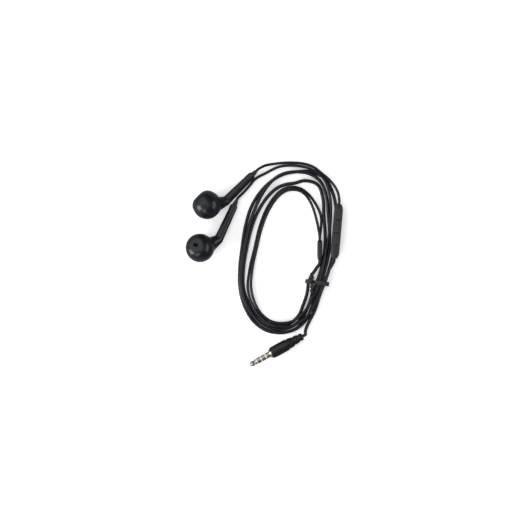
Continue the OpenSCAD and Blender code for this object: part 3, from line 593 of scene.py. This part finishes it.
# ---------------------------------------------------------------- splitter
# A small soft block in two glued halves, lying on its edge, where the main cable
# divides into the two thinner ones.
splitter_w, splitter_t = 3.0, 4.8
splitter_taper, splitter_tip, splitter_edge = 2.6, 2.2, 1.2
splitter_seam = 0.015
lay_splitter = Matrix.Translation(splitter_at - ORIGIN)
for part, side in (("front", 1), ("rear", -1)):
    half = slim_block(2 * splitter_half, splitter_w, splitter_t, splitter_taper, splitter_tip, splitter_edge)
    bmesh.ops.bisect_plane(half, geom=half.verts[:] + half.edges[:] + half.faces[:], dist=1e-4,
                           plane_co=(splitter_seam * side, 0, 0), plane_no=(-side, 0, 0), clear_outer=True)
    bmesh.ops.holes_fill(half, edges=half.edges[:], sides=0)
    as_piece(half, f"splitter_{part}", lay_splitter, soft_black, [f"splitter_{part}_shell"])

# ---------------------------------------------------------------- plug
# A four-pole 3.5 mm plug: nickel-plated brass tip, rings and sleeve parted by white
# insulators, pressed on a plastic core, with a soft ribbed boot moulded over the back.
lay_plug = (Matrix.Translation(plug_tip_at - ORIGIN) @ Matrix.Rotation(plug_turn, 4, "Z")
            @ Matrix.Rotation(math.pi / 2, 4, "Y"))


def metal_finish(name, dark, light, rough):
    """Plated or turned metal with fine marks and a little tarnish."""
    finish = Finish(name, Metallic=1.0)
    tarnish = finish.noise(1.6, 3.0)
    marks = finish.noise(0.12, 2.0)
    finish.set(Base_Color=finish.blend(tarnish, dark, light), Roughness=rough + tarnish * 0.12 + marks * 0.06)
    finish.bump(marks, 0.002)
    return finish.material


def plain_finish(name, dark, light, rough, grain=0.2):
    """Moulded or woven stuff in two close tones with a fine grain."""
    finish = Finish(name)
    tone = finish.noise(grain * 8, 2.0)
    fine = finish.noise(grain, 2.0)
    finish.set(Base_Color=finish.blend(tone, dark, light), Roughness=rough + fine * 0.1)
    finish.bump(fine, 0.01)
    return finish.material


nickel = metal_finish("nickel", (0.22, 0.198, 0.17), (0.38, 0.35, 0.31), 0.19)
insulator_white = plain_finish("insulator_white", (0.78, 0.76, 0.71), (0.86, 0.85, 0.81), 0.4)
boot_black = cable_finish("boot_black", (0.004, 0.004, 0.006), (0.008, 0.008, 0.011))
ring_bore_r = 1.02
plug_metal = {
    "plug_tip": [(0.0, 0.0), (0.30, 0.03), (0.55, 0.14), (0.78, 0.33), (0.95, 0.55), (1.65, 2.0), (1.69, 2.2),
                 (1.62, 2.5), (1.36, 3.3), (1.30, 3.45), (1.34, 3.6), (1.70, 4.2), (1.75, 4.32), (1.75, 4.76),
                 (1.70, 4.8), (0.0, 4.8)],
    "plug_front_ring": [(ring_bore_r, 5.4), (1.70, 5.4), (1.75, 5.45), (1.75, 7.75), (1.70, 7.8),
                        (ring_bore_r, 7.8)],
    "plug_rear_ring": [(ring_bore_r, 8.4), (1.70, 8.4), (1.75, 8.45), (1.75, 10.85), (1.70, 10.9),
                       (ring_bore_r, 10.9)],
    "plug_sleeve": [(ring_bore_r, 11.5), (1.70, 11.5), (1.75, 11.55), (1.75, 13.95), (1.8, 14.0), (2.3, 14.0),
                    (2.6, 14.3), (2.95, 14.9), (3.0, metal_length), (ring_bore_r, metal_length)]}
for name, profile in plug_metal.items():
    as_piece(turned(profile, 64), name.replace("plug", "jack"), lay_plug, nickel, [name])
insulator_w, insulator_r = 0.6, 1.70
insulators = bmesh.new()
for start in (4.8, 7.8, 10.9):
    end = start + insulator_w
    ring = turned([(ring_bore_r, start), (insulator_r - 0.02, start), (insulator_r, start + 0.05),
                   (insulator_r, end - 0.05), (insulator_r - 0.02, end), (ring_bore_r, end)], 64)
    work = bpy.data.meshes.new("work")
    ring.to_mesh(work)
    ring.free()
    insulators.from_mesh(work)
as_piece(insulators, "jack_insulators", lay_plug, insulator_white, ["plug_insulators"])

# The boot's outline as (distance from its front, radius), with three grooves across it.
boot_line = [(0.0, 2.98), (0.35, 3.28), (0.9, 3.45), (1.8, 3.53), (2.6, 3.55), (9.5, 3.55), (10.6, 3.45),
             (12.0, 3.3), (13.6, 3.05), (15.0, 2.82), (18.0, 2.45), (20.6, 2.22), (21.2, 2.12),
             (boot_length, 1.98)]
groove_half = 0.45
groove_depth = 0.35
groove_shares = (0.54, 0.72, 0.89)


def boot_r(x):
    """Radius of the boot without its grooves."""
    for (x0, r0), (x1, r1) in zip(boot_line, boot_line[1:]):
        if x <= x1:
            return r0 + (r1 - r0) * (x - x0) / (x1 - x0)
    return boot_line[-1][1]


boot_profile = [(0.0, 0.0)]
grooves = [(g * boot_length - groove_half, g * boot_length + groove_half) for g in groove_shares]
stops = sorted({x for x, _ in boot_line} | {x for g in grooves for x in g})
for x in stops:
    groove = next((g for g in grooves if g[0] - 1e-6 <= x <= g[1] + 1e-6), None)
    if groove is None:
        boot_profile.append((boot_r(x), x))
        continue
    low = boot_r((groove[0] + groove[1]) / 2) - groove_depth
    if x == groove[0]:
        boot_profile += [(boot_r(x - 0.1), x - 0.1), (boot_r(x) - 0.1, x + 0.02), (low, x + 0.12)]
    elif x == groove[1]:
        boot_profile += [(low, x - 0.12), (boot_r(x) - 0.1, x - 0.02), (boot_r(x + 0.1), x + 0.1)]
cable_bore_r, cable_bore_start = 1.06, 18.0
boot_profile += [(cable_bore_r, boot_length), (cable_bore_r, cable_bore_start), (0.0, cable_bore_start)]
lay_boot = lay_plug @ Matrix.Translation((0, 0, metal_length))
as_piece(turned(boot_profile, 72), "jack_boot", lay_boot, boot_black, ["plug_boot"])

# ---------------------------------------------------------------- twist tie
# A flat plastic-covered wire wrapped once round the bundle, its two ends twisted
# together and laid along the cables.
tie_black = cable_finish("tie_black", (0.010, 0.010, 0.012), (0.020, 0.020, 0.023))
tie_line = [(-6.6, 0.58), (-6.6, 3.6), (0.2, 5.4), (4.0, 6.0), (6.9, 5.9), (6.9, 0.58)]
tie_at = Vector((58.9, -39.6, 0))
tie_turn = math.radians(-8)
band_w, band_t = 2.5, 0.46
band_corner, band_edge = 0.9, 0.12
lay_tie = Matrix.Translation(tie_at - ORIGIN) @ Matrix.Rotation(tie_turn, 4, "Z")
tie = bmesh.new()
tie.faces.new([tie.verts.new((x, 0, z)) for x, z in tie_line])
bmesh.ops.bevel(tie, geom=tie.verts[:], offset=band_corner, offset_type="OFFSET", segments=5, profile=0.5,
                affect="VERTICES", material=-1)
bmesh.ops.delete(tie, geom=tie.faces[:], context="FACES_ONLY")
grown = bmesh.ops.extrude_edge_only(tie, edges=tie.edges[:])
bmesh.ops.translate(tie, vec=(0, band_w, 0), verts=verts_of(grown))
bmesh.ops.translate(tie, vec=(0, -band_w / 2, 0), verts=tie.verts)
bmesh.ops.recalc_face_normals(tie, faces=tie.faces)
tie = with_modifiers(tie, ("SOLIDIFY", {"thickness": band_t, "offset": 1.0}),
                     ("BEVEL", {"width": band_edge, "segments": 2, "limit_method": "ANGLE"}))
as_piece(tie, "tie_band", lay_tie, tie_black, ["twist_tie"])


tail_pitch = 5.2
tail_radius = 0.72
tail_wire_r = 0.56
tail_points = 37


def helix_line(phase):
    """Points along one wire of the twisted tail, which runs towards -Y."""
    return [Vector((tail_radius * math.cos(a + phase), tail_pitch - tail_pitch * a / (2 * math.pi),
                    tail_radius * math.sin(a + phase)))
            for a in (2 * math.pi * i / 12 for i in range(tail_points))]


tail_place = lay_tie @ Matrix.Translation((-3.1, 0, 5.5)) @ Matrix.Rotation(-tie_turn, 4, "Z")
for index, phase in enumerate((0.0, math.pi)):
    curve = bpy.data.curves.new(f"tie_tail_{index}", "CURVE")
    curve.dimensions = "3D"
    curve.bevel_depth = tail_wire_r
    curve.bevel_resolution = 3
    curve.use_fill_caps = True
    spline = curve.splines.new("POLY")
    line = helix_line(phase)
    spline.points.add(len(line) - 1)
    for point, at in zip(spline.points, line):
        point.co = (*at, 1.0)
    work = bpy.data.objects.new("work", curve)
    scene.collection.objects.link(work)
    tail = bmesh.new()
    tail.from_mesh(work.evaluated_get(bpy.context.evaluated_depsgraph_get()).to_mesh())
    bpy.data.objects.remove(work)
    as_piece(tail, f"tie_tail_{index}", tail_place, tie_black, (), crease=60)

# ---------------------------------------------------------------- inner pieces
# What is inside the shells keeps its made shape: woven steel meshes, the driver's
# steel, nickel, copper, film and paper, and the remote's board and switches.
weave_pitch = 0.30


def mesh_finish(name):
    """Fine blackened steel mesh, woven at three tenths of a millimetre."""
    finish = Finish(name, Metallic=0.6, Roughness=0.7)
    x, y, _ = finish.axes(finish.place())
    turn = 2 * math.pi / (weave_pitch * MM)
    weave = (x * turn).sin() * (y * turn).sin()
    finish.set(Base_Color=finish.blend(weave.above(0.1), (0.002, 0.002, 0.002), (0.008, 0.008, 0.009)))
    finish.bump(weave, 0.03)
    return finish.material


inner_finishes = {
    "mesh_steel": mesh_finish("mesh_steel"),
    "steel": metal_finish("steel", (0.42, 0.42, 0.43), (0.56, 0.56, 0.58), 0.3),
    "copper": metal_finish("copper", (0.62, 0.30, 0.14), (0.78, 0.42, 0.22), 0.3),
    "frame_black": plain_finish("frame_black", (0.05, 0.05, 0.055), (0.08, 0.08, 0.085), 0.5),
    "film": plain_finish("film", (0.70, 0.68, 0.60), (0.80, 0.78, 0.72), 0.25, 0.6),
    "paper": plain_finish("paper", (0.74, 0.71, 0.64), (0.84, 0.82, 0.77), 0.8, 0.15),
    "board_green": plain_finish("board_green", (0.02, 0.12, 0.05), (0.03, 0.17, 0.08), 0.35, 0.5),
    "core_grey": plain_finish("core_grey", (0.22, 0.22, 0.22), (0.30, 0.30, 0.30), 0.5),
    "nickel": nickel, "soft_black": soft_black, "tie_black": tie_black}
slot_of = {part["node"]: part["material_slot"] for part in frame["record"]["subparts"]}
for name, node in nodes.items():
    finish = inner_finishes.get(slot_of[name])
    if finish and not node.hide_render:
        node.data.materials.clear()
        node.data.materials.append(finish)

# ---------------------------------------------------------------- cord facts
# The remote's pieces are gathered in one list, which nothing reads, and a pass over the cables works out
# each one's thickness in metres without using it. The tie is wound round the whole bundle.
remote_pieces = [bpy.data.objects[n] for n in ("remote_front", "remote_rear", "volume_up_key", "centre_key",
                                               "volume_down_key")]
remote_pieces += [nodes[n] for n in ("circuit_board", "dome_switches", "mic_capsule", "mic_gasket")]
for name, (piece, start, length, diameter, lay) in cords.items():
    diameter * MM

# ---------------------------------------------------------------- table and light
# A plain white table that runs far out, under soft light from five broad lamps and a
# pale room. Near the set the table keeps its shadow, and far out it turns plain white.


def flat_sheet(name, size, height):
    """A square sheet of the stage, its size and height in metres."""
    bm = bmesh.new()
    bmesh.ops.create_grid(bm, x_segments=1, y_segments=1, size=size / 2,
                          matrix=Matrix.Translation((0.02, -0.025, height)))
    mesh = bpy.data.meshes.new(name)
    bm.to_mesh(mesh)
    bm.free()
    made = bpy.data.objects.new(name, mesh)
    scene.collection.objects.link(made)
    return made


floor_size, floor_height = 30.0, -0.0002
floor = flat_sheet("floor", floor_size, floor_height)
floor_finish = Finish("floor_white", Roughness=0.9, Emission_Strength=1.0)
by_camera, by_glossy, by_transmission = (
    floor_finish.node("ShaderNodeLightPath", out=f"Is {kind} Ray")
    for kind in ("Camera", "Glossy", "Transmission"))
distance = floor_finish.node("ShaderNodeVectorMath", {"operation": "LENGTH"}, {0: floor_finish.place()},
                             out="Value")
near_reach, far_reach = 0.3, 1.5
far = floor_finish.node("ShaderNodeMapRange", {},
                        {"Value": distance, "From Min": near_reach, "From Max": far_reach})
backdrop = floor_finish.blend(far, (0.30, 0.30, 0.30), (1.0, 1.0, 1.0))
seen = by_camera + by_glossy + by_transmission
floor_finish.set(Base_Color=floor_finish.blend(by_camera, (0.14, 0.14, 0.14), (0.95, 0.95, 0.95)),
                 Emission_Color=floor_finish.blend(seen, (0.0, 0.0, 0.0), backdrop))
floor.data.materials.append(floor_finish.material)

world = bpy.data.worlds.new("room")
scene.world = world
world.use_nodes = True
room = world.node_tree.nodes["Background"]
room.inputs["Color"].default_value = (1.0, 1.0, 1.0, 1.0)
room_light = 0.17
room.inputs["Strength"].default_value = room_light
set_middle = Vector((0.02, -0.02, 0.0))


def lamp(name, at, size, power):
    """A broad lamp that faces the middle of the set; metres and watts."""
    data = bpy.data.lights.new(name, "AREA")
    data.shape = "RECTANGLE"
    data.size, data.size_y = size
    data.energy = power
    made = bpy.data.objects.new(name, data)
    scene.collection.objects.link(made)
    made.location = at
    made.rotation_euler = (set_middle - Vector(at)).to_track_quat("-Z", "Y").to_euler()


lamp("window_lamp", (-0.42, 0.33, 0.58), (0.90, 0.85), 3.6)
lamp("front_lamp", (-0.24, -0.52, 0.42), (0.30, 0.40), 1.2)
lamp("left_lamp", (-0.61, -0.24, 0.25), (0.36, 0.40), 4.2)
lamp("right_lamp", (0.62, -0.02, 0.34), (0.62, 0.26), 2.0)
lamp("top_lamp", (0.02, -0.02, 0.80), (0.60, 0.60), 1.1)

scene.view_settings.view_transform = "Standard"
